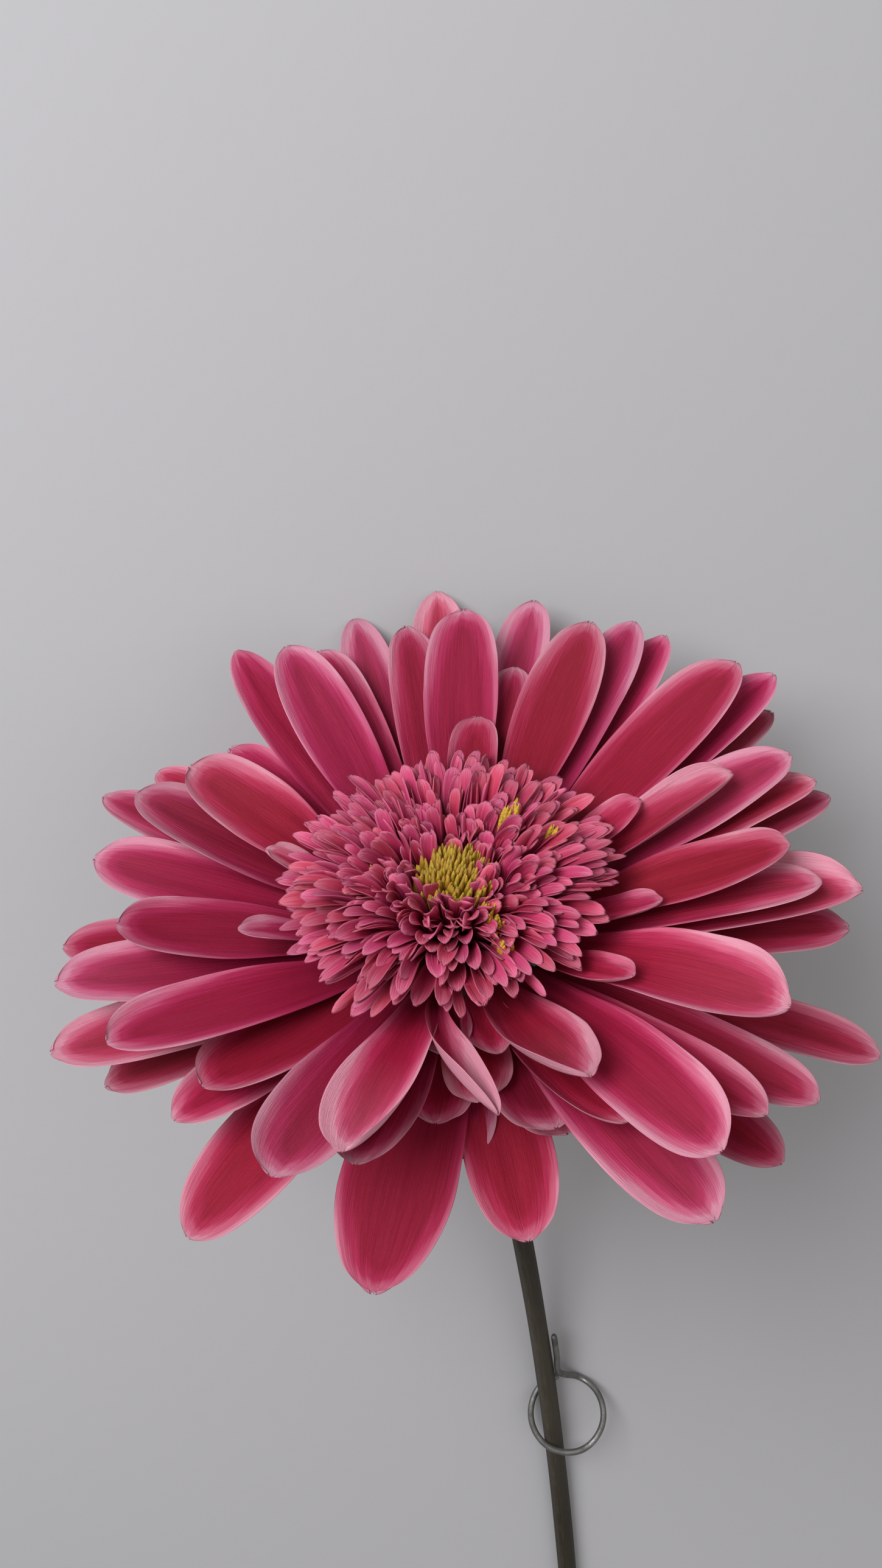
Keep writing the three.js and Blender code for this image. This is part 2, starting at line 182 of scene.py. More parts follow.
# ---------------------------------------------------------------- materials
class Look:
    """A material made of nodes, with short calls for the nodes that the looks share."""

    def __init__(self, name):
        self.material = bpy.data.materials.new(name)
        self.material.use_nodes = True
        self.nodes = self.material.node_tree.nodes
        self.links = self.material.node_tree.links
        self.shader = self.nodes["Principled BSDF"]

    def set(self, **inputs):
        """Shader inputs by name, with _ for a space: a value, or a link from another node."""
        for name, value in inputs.items():
            socket = self.shader.inputs[name.replace("_", " ")]
            if isinstance(value, bpy.types.NodeSocket):
                self.links.new(value, socket)
            else:
                socket.default_value = value

    def node(self, kind, inputs=None, **settings):
        node = self.nodes.new(kind)
        for name, value in settings.items():
            setattr(node, name, value)
        for key, value in (inputs or {}).items():
            if isinstance(value, bpy.types.NodeSocket):
                self.links.new(value, node.inputs[key])
            else:
                node.inputs[key].default_value = value
        return node

    def value(self, name):
        return self.node("ShaderNodeAttribute", attribute_name=name).outputs["Fac"]

    def math(self, operation, a, b=0.0, c=0.0):
        return self.node("ShaderNodeMath", {0: a, 1: b, 2: c}, operation=operation).outputs[0]

    def place(self, scale=(1, 1, 1)):
        where = self.node("ShaderNodeTexCoord").outputs["Object"]
        return self.node("ShaderNodeMapping", {"Vector": where, "Scale": scale}).outputs[0]

    def join(self, x, y, z):
        return self.node("ShaderNodeCombineXYZ", {0: x, 1: y, 2: z}).outputs[0]

    def noise(self, vector, scale, detail=3.0, rough=0.5):
        inputs = {"Vector": vector, "Scale": scale, "Detail": detail, "Roughness": rough}
        return self.node("ShaderNodeTexNoise", inputs).outputs["Fac"]

    def ramp(self, factor, stops, interpolation="LINEAR"):
        node = self.node("ShaderNodeValToRGB", {"Fac": factor})
        node.color_ramp.interpolation = interpolation
        points = node.color_ramp.elements
        while len(points) < len(stops):
            points.new(0.5)
        for point, (position, colour) in zip(points, stops):
            point.position = position
            point.color = (*colour, 1)
        return node.outputs["Color"]

    def mix(self, factor, a, b):
        a, b = ((*c, 1) if isinstance(c, tuple) else c for c in (a, b))
        return self.node("ShaderNodeMix", {0: factor, 6: a, 7: b}, data_type="RGBA").outputs[2]

    def remap(self, value, low, high, to_low=0.0, to_high=1.0):
        inputs = {"Value": value, "From Min": low, "From Max": high, "To Min": to_low, "To Max": to_high}
        return self.node("ShaderNodeMapRange", inputs).outputs[0]

    def bump(self, height, distance, strength):
        inputs = {"Height": height, "Distance": distance, "Strength": strength}
        return self.node("ShaderNodeBump", inputs).outputs[0]

    def vary(self, colour, seed, hues, beat, values):
        """The colour, a little different from one petal or floret to the next."""
        pick = self.math("FRACT", self.math("MULTIPLY", seed, beat))
        return self.node("ShaderNodeHueSaturation", {
            "Hue": self.remap(seed, 0.0, 10.0, *hues),
            "Value": self.remap(pick, 0, 1, *values),
            "Color": colour,
        }).outputs[0]


CRIMSON_DEEP = (0.20, 0.003, 0.016)
CRIMSON = (0.37, 0.007, 0.038)
MAGENTA = (0.49, 0.022, 0.085)
RIM_PINK = (0.66, 0.13, 0.23)
RIM_PALE = (0.78, 0.33, 0.43)
BACK_PINK = (0.56, 0.12, 0.20)


def petal_look():
    look = Look("petal")
    edge, along, across = look.value("edge"), look.value("along"), look.value("across")
    seed, back = look.value("seed"), look.value("back")
    lanes = look.join(look.math("MULTIPLY", along, 1.6), look.math("MULTIPLY", across, 9.0), seed)
    streaks = look.noise(lanes, 2.2, 4.0, 0.6)
    fine_lanes = look.join(look.math("MULTIPLY", along, 5.0), look.math("MULTIPLY", across, 46.0), seed)
    fibres = look.noise(fine_lanes, 1.0, 3.0, 0.55)
    patches = look.noise(look.join(along, across, look.math("MULTIPLY", seed, 3.0)), 3.0, 2.0)
    wander = look.math("MULTIPLY_ADD", look.math("SUBTRACT", patches, 0.5), 1.6, edge)
    wander = look.math("MULTIPLY_ADD", look.math("SUBTRACT", streaks, 0.5), 1.4, wander)
    # The pale edge is widest at the tip and thins out towards the foot.
    narrow = look.remap(along, 0.15, 0.8, 2.6, 0.0)
    pale = look.value("pale")
    depth = look.math("SUBTRACT", look.math("ADD", wander, narrow), look.math("MULTIPLY", pale, 0.6))
    colour = look.ramp(look.math("DIVIDE", depth, 6.0), [
        (0.0, RIM_PALE), (0.13, RIM_PINK), (0.32, MAGENTA), (0.56, CRIMSON), (1.0, CRIMSON),
    ], "EASE")
    shade = look.remap(streaks, 0.3, 0.75, 0.0, 0.55)
    colour = look.mix(look.math("MULTIPLY", shade, look.remap(depth, 1.0, 3.5)), colour, CRIMSON_DEEP)
    foot = look.remap(along, 0.0, 0.42, 0.75, 0.0)
    colour = look.mix(foot, colour, CRIMSON_DEEP)
    light = look.remap(fibres, 0.3, 0.7, 0.0, 0.06)
    colour = look.mix(light, colour, RIM_PINK)
    bloom = look.math("MULTIPLY", look.remap(along, 0.45, 1.0), look.math("MULTIPLY", pale, 0.06))
    colour = look.mix(bloom, colour, RIM_PALE)
    under = look.ramp(look.math("DIVIDE", depth, 6.0), [(0.0, RIM_PALE), (0.4, BACK_PINK), (1.0, MAGENTA)])
    colour = look.mix(back, colour, look.mix(light, under, RIM_PALE))
    tone = look.vary(colour, seed, (0.491, 0.504), 7.3, (0.76, 1.05))
    cells = look.noise(look.place(), 3500.0, 2.0)
    height = look.math("MULTIPLY_ADD", cells, 0.25, fibres)
    look.set(Base_Color=tone, Roughness=look.remap(streaks, 0.2, 0.8, 0.5, 0.68),
             Normal=look.bump(height, 0.00022, 0.7))
    look.set(Specular_IOR_Level=0.16)
    return look.material


def floret_look():
    look = Look("floret")
    along, across, seed = look.value("along"), look.value("across"), look.value("seed")
    lanes = look.join(look.math("MULTIPLY", along, 1.2), look.math("MULTIPLY", across, 2.5), seed)
    streaks = look.noise(lanes, 2.6, 3.0)
    reach = look.math("MULTIPLY_ADD", look.math("SUBTRACT", streaks, 0.5), 0.35, along)
    # Dark at the foot to pale at the tip: partly the florets' own colour, partly painted shade deep in the
    # ruff and a painted highlight on the tips.
    colour = look.ramp(reach, [
        (0.0, (0.26, 0.005, 0.026)), (0.45, (0.38, 0.012, 0.05)), (0.7, (0.48, 0.032, 0.085)),
        (0.88, (0.57, 0.065, 0.13)), (1.0, (0.70, 0.18, 0.27)),
    ])
    # Pale margins: partly the florets' own paler edges, partly painted light that offsets the dark shading
    # on their thin rims.
    margin = look.remap(look.math("ABSOLUTE", across), 0.7, 1.0, 0.0, 0.55)
    colour = look.mix(look.math("MULTIPLY", margin, look.remap(along, 0.3, 0.9)), colour, (0.70, 0.20, 0.28))
    tone = look.vary(colour, seed, (0.484, 0.502), 5.7, (0.78, 1.15))
    look.set(Base_Color=tone, Roughness=look.remap(streaks, 0.2, 0.8, 0.5, 0.7),
             Normal=look.bump(streaks, 0.0003, 0.6))
    look.set(Specular_IOR_Level=0.2)
    return look.material


def centre_look():
    look = Look("disc_centre")
    along, seed = look.value("along"), look.value("seed")
    grain = look.noise(look.place(), 900.0, 4.0)
    colour = look.ramp(look.math("MULTIPLY_ADD", look.math("SUBTRACT", grain, 0.5), 0.5, along), [
        (0.0, (0.20, 0.12, 0.01)), (0.45, (0.33, 0.20, 0.015)),
        (0.8, (0.42, 0.27, 0.02)), (1.0, (0.48, 0.32, 0.035)),
    ])
    tone = look.vary(colour, seed, (0.48, 0.51), 3.1, (0.8, 1.15))
    look.set(Base_Color=tone, Roughness=look.remap(grain, 0.3, 0.7, 0.55, 0.75),
             Normal=look.bump(grain, 0.0003, 0.8))
    return look.material


def pollen_look():
    look = Look("pollen")
    grain = look.noise(look.place(), 2400.0, 3.0)
    colour = look.ramp(grain, [(0.3, (0.50, 0.28, 0.02)), (0.7, (0.78, 0.52, 0.06))])
    look.set(Base_Color=colour, Roughness=look.remap(grain, 0.3, 0.7, 0.6, 0.85),
             Normal=look.bump(grain, 0.0004, 0.9))
    return look.material


def bract_look():
    look = Look("bract")
    # The receptacle's upper wall is red; on the bracts the value is missing, which reads as 0.
    red = look.value("red")
    along, across, seed = look.value("along"), look.value("across"), look.value("seed")
    lanes = look.join(look.math("MULTIPLY", along, 2.0), look.math("MULTIPLY", across, 7.0), seed)
    streaks = look.noise(lanes, 2.0, 4.0, 0.6)
    reach = look.math("MULTIPLY_ADD", look.math("SUBTRACT", streaks, 0.5), 0.3, along)
    colour = look.ramp(reach, [
        (0.0, (0.20, 0.25, 0.07)), (0.5, (0.09, 0.14, 0.035)),
        (0.82, (0.075, 0.10, 0.03)), (1.0, (0.10, 0.05, 0.03)),
    ])
    pale = look.remap(streaks, 0.45, 0.75, 0.0, 0.45)
    colour = look.mix(pale, colour, (0.24, 0.29, 0.12))
    colour = look.mix(red, colour, look.mix(streaks, (0.07, 0.002, 0.008), (0.20, 0.006, 0.03)))
    fuzz = look.noise(look.place(), 5200.0, 2.0)
    look.set(Base_Color=colour, Roughness=look.remap(fuzz, 0.3, 0.7, 0.6, 0.85),
             Normal=look.bump(look.math("MULTIPLY_ADD", fuzz, 0.5, streaks), 0.0003, 0.8))
    look.set(Sheen_Weight=0.35, Sheen_Roughness=0.5)
    return look.material


def stem_look():
    look = Look("stem")
    along, turn = look.value("along"), look.value("turn")
    lanes = look.join(look.math("MULTIPLY", along, 0.05), look.math("MULTIPLY", turn, 1.0), 0.0)
    streaks = look.noise(lanes, 5.0, 5.0, 0.6)
    blotches = look.noise(look.place((1, 0.35, 1)), 190.0, 4.0, 0.6)
    colour = look.ramp(streaks, [
        (0.25, (0.014, 0.010, 0.006)), (0.5, (0.026, 0.020, 0.011)), (0.75, (0.060, 0.048, 0.028)),
    ])
    # The stem is darkest under the head, where its dark brown is partly painted shade from the head, and
    # greyer where it nears the surface.
    grey = look.remap(look.math("ABSOLUTE", look.math("SUBTRACT", along, 98.0)), 34.0, 8.0, 0.0, 0.30)
    colour = look.mix(grey, colour, (0.125, 0.105, 0.075))
    green = look.remap(along, 120.0, 250.0, 0.0, 0.35)
    colour = look.mix(green, colour, (0.085, 0.095, 0.032))
    colour = look.mix(look.remap(blotches, 0.5, 0.75, 0.0, 0.5), colour, (0.028, 0.018, 0.010))
    cut = look.value("cut")
    ring = look.noise(look.place(), 1400.0, 3.0)
    flesh = look.ramp(ring, [(0.3, (0.20, 0.20, 0.09)), (0.7, (0.36, 0.36, 0.20))])
    colour = look.mix(cut, colour, flesh)
    fine_lanes = look.join(look.math("MULTIPLY", along, 0.9), look.math("MULTIPLY", turn, 9.0), 0.0)
    hairs = look.noise(fine_lanes, 3.0, 2.0)
    height = look.math("MULTIPLY_ADD", hairs, 0.35, streaks)
    look.set(Base_Color=colour, Roughness=look.remap(streaks, 0.2, 0.8, 0.42, 0.62),
             Normal=look.bump(height, 0.00035, 0.8))
    look.set(Sheen_Weight=0.05, Sheen_Roughness=0.5, Specular_IOR_Level=0.3)
    return look.material


def wire_look():
    look = Look("wire")
    stains = look.noise(look.place(), 420.0, 5.0, 0.6)
    scratches = look.noise(look.place((1, 1, 6)), 2600.0, 2.0)
    colour = look.ramp(stains, [
        (0.3, (0.13, 0.13, 0.125)), (0.55, (0.21, 0.21, 0.20)), (0.8, (0.30, 0.30, 0.29)),
    ])
    rough = look.math("MULTIPLY_ADD", scratches, 0.2, look.remap(stains, 0.3, 0.7, 0.5, 0.28))
    look.set(Base_Color=colour, Roughness=rough, Normal=look.bump(scratches, 0.0001, 0.5))
    look.set(Metallic=0.85)
    return look.material


def floor_look():
    look = Look("floor")
    tooth = look.noise(look.place(), 260.0, 3.0)
    cloud = look.noise(look.place(), 2.5, 2.0)
    colour = look.ramp(cloud, [(0.3, (0.465, 0.463, 0.48)), (0.7, (0.50, 0.498, 0.515))])
    look.set(Base_Color=colour, Roughness=0.8, Normal=look.bump(tooth, 0.0002, 0.25))
    return look.material


PETAL, FLORET, CENTRE = petal_look(), floret_look(), centre_look()
POLLEN, BRACT, STEM, WIRE = pollen_look(), bract_look(), stem_look(), wire_look()

# ---------------------------------------------------------------- ray petals
PETAL_LENGTH = 42
PETAL_WIDTH = 10.5
PETAL_THICKNESS = 0.55
PETAL_CLAW = 0.34
CLAW_STEP = 0.07  # how much wider the foot is with each ring down, as a share of the full width
FULLER = 1.06  # how much wider than the CAD's the petals of rings 1 to 5 are
PETAL_WIDEST = 0.64
PETAL_FOOT = RECEPTACLE_RADIUS + 0.9
RING_STEP = 1.25
SURFACE_LIFT = 17
SURFACE_SQUEEZE = 0.5
SURFACE_GAP = 0.05
PETAL_ROWS = 46
PETAL_COLUMNS = 21
# Each ring: lift and curl (deg), cup as a share of half the width, and its petals: azimuth clockwise from
# 12 o'clock (deg), length and width beyond the typical (mm), extra lift and roll (deg), and how far the
# tip swings clockwise (mm).
RINGS = [
    (-7, -4, 0.10, [
        (118, 3, -2.5, 0, -3, 0), (138, -2, -1.5, 0, 3, 0), (174, -12, 0.5, -13, 3, 0),
        (196, -6, 4, -11, -3, 2), (224, -2, 1.5, -3, 4, 0), (250, -4, -1, 0, -3, 0),
    ]),
    (2, 2, 0.11, [
        (80, 2, -2, 0, 3, 0), (104, -2, -1.5, 0, -3, 0), (132, -1, -0.5, 0, 3, 0),
        (153, -0.5, 1, 0, -3, 0), (234, -9, -1.5, 0, 3, 0), (252, 1, 0, 0, 3, 0),
        (270, -1, -1, 0, -3, 0), (298, 3, -1.5, 0, -3, 0), (350, 9, -1.5, 4, -3, 0),
    ]),
    (9, 4, 0.13, [
        (4, 7, -1.5, 0, -3, 0), (20, 5, -1.5, 0, 3, 0), (43, 4, -2, 0, 3, 0), (61, 7, -1.5, 0, -3, 0),
        (102, 0, 0.5, 0, 4, 0), (158, -14, -1, 0, 3, -2), (201, -14, 0, 0, -3, 0),
        (232, -13, 1, 0, -4, 0), (259, -1, 0.5, 0, 3, 0), (283, -3, 1, 0, -3, 0),
        (316, -9, -1, 0, 3, 0), (342, 0, -1, 0, 3, 0),
    ]),
    (14, 6, 0.17, [
        (20, -10, -2.5, 0, 0, 0), (39, 2, -1.5, 0, -3, 0), (58, 3, 1.5, 0, 3, 0),
        (77, -2, -0.5, 0, -3, 0), (103, -5, -1.5, 0, 4, 0), (147, -1, 0.5, 0, -3, 4),
        (209, -6, 0.5, 0, 4, 0), (243, -5, 0, 0, -3, 0), (266, -9, 0, 0, 3, 0),
        (295, -5, 0.5, 0, -3, 0), (328, 3, -1.5, 0, 3, 0), (358, -2, -2, 0, -3, 0),
    ]),
    (19, 6, 0.22, [
        (9, -2, 0.5, 0, 3, 0), (33, -2, 0.5, 0, -3, 0), (78, -11, -3.5, 0, 0, 0),
        (99, -8, -0.5, 0, 3, 0), (126, -4, 1.5, 0, -3, 5), (163, -16, -0.5, 0, 3, -2.5),
        (198, -8, -0.5, 0, -3, 1), (303, -10, 0.5, 0, 3, 0), (335, -2, 0, 0, -3, 0),
    ]),
    (22, 6, 0.26, [
        (14, -22, -3, 0, 0, 0), (72, -24, -4.5, 0, 0, 0), (109, -25, -5.5, 0, 0, 0),
        (135, -24, -5, 0, 0, 0), (192, -16, -6.3, -4, 0, -10.5),
    ]),
]
# Petals of the same rings that stand for no CAD node.
MORE_PETALS = {
    1: [(310, 3, -2.5, 0, 3, 0), (185, -23, -1, -12, 0, 0), (160, -22, 0, -6, 0, 0)],
    2: [(62, 5, -2, 0, 3, 0), (164, -21, 1, -3, 3, 0), (190, -25, -1, -6, 0, 0)],
    3: [(80, 0, -2.5, 0, 3, 0), (141, -3, -1.5, 0, 3, 0), (179, -26, -2, -7, 0, 0)],
    5: [(172, -29, -4, -8, 0, 0), (187, -30, -4, -8, 0, 0)],
    6: [(259, -25, -6, 0, 0, 0), (291, -27, -6, 0, 0, 0)],
}
# Cup of the folded petals, and the side and height (mm) of a margin that rolls up, by ring and number.
FOLDED = {(5, 3): 0.62, (6, 5): 1.5, (6, 2): 0.4, (3, 5): 0.3}
ROLLED = {(5, 6): (1, 2.2), (5, 7): (-1, 2.4), (3, 6): (1, 1.8), (3, 5): (-1, 1.6), (5, 5): (1, 0.9)}
# How the tip narrows, from 1 (pointed) to 3.4 (blunt), by ring and number.
TIPS = {
    (1, 3): 2.2, (1, 4): 1.7, (1, 5): 2.1, (2, 9): 2.1, (4, 11): 2.2, (5, 2): 2.2, (5, 6): 1.35, (5, 7): 2.2,
    (5, 9): 2.3, (6, 5): 1.5,
}
# How much wider the pale rim is (mm), by ring and number.
PALE = {
    (1, 3): -0.3, (1, 4): -0.3, (1, 5): 0.3, (2, 4): 1.2, (2, 6): 1.5, (2, 9): 1.6, (3, 1): 1.6, (3, 2): 1.6,
    (3, 5): 1.2, (3, 9): 1.5, (3, 10): 0.9, (4, 4): 1.0, (4, 5): 0.8, (4, 6): 0.7, (4, 7): 1.0, (4, 10): 0.9,
    (4, 11): -0.4, (5, 3): 1.2, (5, 5): 1.3, (5, 6): 1.6, (5, 7): 2.6, (5, 8): 0.8, (5, 9): 0.6,
    (6, 1): -0.5, (6, 2): -0.4, (6, 3): -0.5, (6, 4): -0.5, (6, 5): 1.6,
}


def outline(s, tip, claw):
    """Half the width along a petal, as a share of its widest."""
    rising = claw + (1 - claw) * smooth(s / PETAL_WIDEST) ** 0.8
    past = np.clip((s - PETAL_WIDEST) / (1 - PETAL_WIDEST), 0, 1)
    return np.where(s < PETAL_WIDEST, rising, np.sqrt(np.maximum(0.004, 1 - past ** tip)))


def petal(level, number, row, named=True):
    """One ray petal. Each has its own cup, rolled margin, twist, ripples, groove, teeth and colour."""
    lift, curl, cup, _ = RINGS[level]
    azimuth, longer, wider, lifted, roll, swing = row
    key = (level + 1, number + 1) if named else None
    cup = FOLDED.get(key, cup * rng.uniform(0.8, 1.3))
    rolled_side, rolled_height = ROLLED.get(key, (1, rng.uniform(-0.3, 0.5)))
    angle = math.radians(azimuth)
    near = (1 + math.cos(angle)) / 2
    lift = (lift + lifted) * (1 - SURFACE_SQUEEZE * near) + SURFACE_LIFT * near
    tip_turn = rng.uniform(-9, 7)
    sway = rng.uniform(-0.7, 0.7)
    twist = rng.uniform(-3, 3)
    tip = TIPS.get(key, rng.uniform(2.4, 3.3))
    wave = rng.uniform(0.08, 0.26, 2)
    beats = rng.uniform(1.2, 2.4, 2)
    start = rng.uniform(0, 2 * math.pi, 2)
    groove = rng.uniform(0.10, 0.17)
    notch = rng.uniform(0.15, 0.5)
    seed = rng.uniform(0, 10)
    half_full = (PETAL_WIDTH + wider) / 2 * (FULLER if level < 5 else 1)
    pale = PALE.get(key, rng.uniform(-0.2, 0.6))
    claw = PETAL_CLAW + CLAW_STEP * (len(RINGS) - 1 - level)
    out, beside = directions(angle)
    s = 1 - (1 - np.linspace(0, 1, PETAL_ROWS)) ** 1.7
    across = np.sin(np.linspace(-1, 1, PETAL_COLUMNS) * math.pi / 2)
    length = PETAL_LENGTH + longer
    # A petal that would reach below the surface is shortened until it ends at it.
    while True:
        pitch = np.radians(lift + curl * (s - 0.5) + tip_turn * smooth((s - 0.7) / 0.3))
        step = np.diff(s) * length
        middle_pitch = (pitch[1:] + pitch[:-1]) / 2
        rho = PETAL_FOOT + np.concatenate([[0], np.cumsum(np.cos(middle_pitch) * step)])
        z = RECEPTACLE_TOP - RING_STEP * (len(RINGS) - level)
        z = z + np.concatenate([[0], np.cumsum(np.sin(middle_pitch) * step)])
        bend = swing * s ** 2 + sway * np.sin(math.pi * s) * s
        middle = rho[:, None] * out + z[:, None] * UP + bend[:, None] * beside
        normal = UP * np.cos(pitch)[:, None] - out * np.sin(pitch)[:, None]
        turn = np.radians(roll * s + twist * smooth((s - 0.4) / 0.6))[:, None]
        side = beside * np.cos(turn) + normal * np.sin(turn)
        face = normal * np.cos(turn) - beside * np.sin(turn)
        half = half_full * outline(s, tip, claw)
        spoon = cup * (0.5 + 0.8 * s)
        rise = (spoon * half)[:, None] * np.abs(across) ** 2.2
        fade = (smooth(s / 0.2) * smooth((1 - s) / 0.15))[:, None]
        rise = rise - groove * fade * np.cos(3 * math.pi * across)
        for k, hand in enumerate((-1, 1)):
            ripple = wave[k] * np.sin(2 * math.pi * beats[k] * s + start[k]) * smooth(s / 0.3)
            rise = rise + ripple[:, None] * np.clip(across * hand, 0, 1) ** 3
        margin = np.clip((across * rolled_side - 0.45) / 0.55, 0, 1) ** 1.6
        rise = rise + rolled_height * (smooth(s / 0.5) * (half / half_full))[:, None] * margin
        edge_round = np.sqrt(1 - across ** 4)
        thin = PETAL_THICKNESS * (0.95 - 0.35 * s) * np.sqrt(np.clip(1 - s ** 12, 0, 1))
        points, faces, rows, columns, back = blade(
            middle, side, face, half, across, rise, thin[:, None] * edge_round)
        # Three shallow teeth at the tip.
        teeth = notch * (1 - np.cos(3 * math.pi * across[columns])) / 2 * smooth((s[rows] - 0.9) / 0.1)
        points = points - teeth[:, None] * (out * np.cos(pitch[-1]) + UP * np.sin(pitch[-1]))
        world = to_world(points)
        below = SURFACE_GAP - world[:, 2].min()
        if below <= 0:
            break
        length -= below + 0.02
    # Each point's distance to the petal's rim, in mm, on the petal laid flat.
    flat = np.stack([half[:, None] * across, np.repeat((s * length)[:, None], PETAL_COLUMNS, 1)], -1)
    rim = np.concatenate([flat[:, 0], flat[-1], flat[::-1, -1]])
    edge = np.linalg.norm(flat[:, :, None] - rim, axis=-1).min(-1)
    shape = Shape()
    shape.add(world, faces, edge=edge[rows, columns], along=s[rows], across=across[columns],
              seed=seed, back=back, pale=pale)
    name = f"{level + 1}_{number + 1:02d}"
    shape.piece("petal_" + name, PETAL, "petal", ["ray_petal_" + name] if named else ())


for level, (_, _, _, rows) in enumerate(RINGS):
    for number, row in enumerate(rows):
        petal(level, number, row)
for level, rows in MORE_PETALS.items():
    for number, row in enumerate(rows):
        petal(level - 1, len(RINGS[level - 1][3]) + number, row, named=False)

# ---------------------------------------------------------------- disc florets
GOLDEN = math.pi * (3 - math.sqrt(5))
DISC_FOOT = RECEPTACLE_TOP + GAP
RUFF_RADIUS = 24.6
RUFF_SPLIT = 15.7
RUFF_INSIDE = 5.2
FLORETS = 620
STRAP_ROWS = 12
STRAP_COLUMNS = 9
STRAP_WIDEST = 0.74


def strap(shape, azimuth, foot, tip_radius, tip_height, width, twist, lean, cup, seed, shade):
    """A small petal-like floret from the receptacle at radius foot to its three-toothed tip."""
    out, beside = directions(azimuth)
    s = 1 - (1 - np.linspace(0, 1, STRAP_ROWS)) ** 1.8
    across = np.sin(np.linspace(-1, 1, STRAP_COLUMNS) * math.pi / 2)
    # Upright at the foot, then leaning outwards.
    rho = foot + (tip_radius - foot) * s ** 1.6
    z = DISC_FOOT + (tip_height - DISC_FOOT) * np.sin(s * math.pi / 2 * 0.8) / math.sin(math.pi / 2 * 0.8)
    middle = rho[:, None] * out + z[:, None] * UP + (lean * s ** 2)[:, None] * beside
    along = unit(np.gradient(middle, axis=0))
    side = unit(beside * math.cos(twist) + out * math.sin(twist))
    side = unit(side - along * (side * along).sum(-1, keepdims=True))
    face = np.cross(side, along)
    past = np.clip((s - STRAP_WIDEST) / (1 - STRAP_WIDEST), 0, 1)
    half = width / 2 * (0.4 + 0.6 * smooth(s / STRAP_WIDEST)) * np.sqrt(np.maximum(0.03, 1 - past ** 3.6))
    rise = (cup * half * (1.3 - 0.8 * s))[:, None] * across ** 2
    thickness = (0.26 * np.sqrt(np.clip(1 - s ** 14, 0, 1)))[:, None] * np.sqrt(1 - across ** 4)
    points, faces, rows_at, columns_at, _ = blade(middle, side, face, half, across, rise, thickness)
    teeth = 0.10 * width * (1 - np.cos(3 * math.pi * across[columns_at])) / 2
    points = points - (teeth * smooth((s[rows_at] - 0.7) / 0.3))[:, None] * along[-1]
    # along is raised to the power shade, so a smaller shade pales the colour lower down: painted light
    # against the shade in the hollow round the centre.
    shape.add(to_world(points), faces, along=s[rows_at] ** shade, across=across[columns_at], seed=seed)


def crown_height(radius, azimuth):
    """Top of the ruff: low round the centre, highest half way out, falling to the rim, and lumpy."""
    knots = [(5.0, 8.8), (8.0, 9.8), (12.0, 10.4), (17.0, 10.2), (20.5, 9.2), (RUFF_RADIUS, 7.2)]
    lumps = 0.6 * math.sin(3 * azimuth + 0.35 * radius) + 0.5 * math.sin(7 * azimuth - 0.6 * radius + 2)
    # A furrow runs from the centre towards 5 o'clock.
    furrow = bump_at(azimuth, 150, 13) * (1 - abs(radius - 14) / 12)
    return float(np.interp(radius, *zip(*knots))) + lumps - 2.4 * max(0, furrow)


inner, outer = Shape(), Shape()
for i in range(FLORETS):
    share = ((i + 0.5) / FLORETS) ** 1.2
    radius = math.sqrt(RUFF_INSIDE ** 2 + (RUFF_RADIUS ** 2 - RUFF_INSIDE ** 2) * share)
    radius += rng.uniform(-1.2, 0.8)
    radius = max(RUFF_INSIDE, min(radius, RUFF_RADIUS - rng.uniform(0.0, 1.6)))
    azimuth = i * GOLDEN + rng.uniform(-0.12, 0.12)
    reach = (radius - RUFF_INSIDE) / (RUFF_RADIUS - RUFF_INSIDE)
    foot = RUFF_INSIDE - 0.8 + (RECEPTACLE_RADIUS - RUFF_INSIDE + 0.1) * reach ** 0.7
    height = crown_height(radius, azimuth) + rng.uniform(-2.1, 1.1)
    clump = math.sin(5 * azimuth + 0.9 * radius) + 0.7 * math.sin(9 * azimuth - 1.3 * radius)
    width = rng.uniform(1.6, 2.7) * (0.88 + 0.2 * share)
    # The ruff reaches further out at 7 o'clock, and less far beside it at 6.
    tip_radius = radius * (1 + (0.16 * bump_at(azimuth, 210, 14) - 0.06 * bump_at(azimuth, 191, 8)) * reach)
    # Inner florets get a smaller shade, so their colour turns pale lower down: painted light that lifts the
    # shade round the centre.
    strap(outer if radius > RUFF_SPLIT else inner, azimuth, foot, tip_radius, height, width,
          twist=0.5 * clump + rng.uniform(-1.1, 1.1), lean=1.1 * clump + rng.uniform(-1.5, 1.5),
          cup=rng.uniform(0.3, 1.0), seed=rng.uniform(0, 10),
          shade=float(np.interp(radius, [6, 12], [0.5, 0.9])))
outer.piece("florets_outer", FLORET, "floret", ["disc_florets_outer"])
inner.piece("florets_inner", FLORET, "floret", ["disc_florets_inner"])


BUD_SIDES = 8
BUD_SWELL = np.array([0.6, 0.85, 1.0, 1.02, 0.92, 0.62, 0.16])


def bud(shape, foot, tip, radius, seed):
    """A small closed floret: a bar that swells and closes to a blunt point."""
    t = np.linspace(0, 1, len(BUD_SWELL))
    path = foot[None] + (tip - foot)[None] * t[:, None]
    points, faces = tube(path, radius * BUD_SWELL, BUD_SIDES)
    shape.add(to_world(points), faces, along=np.repeat(t, BUD_SIDES), seed=seed)


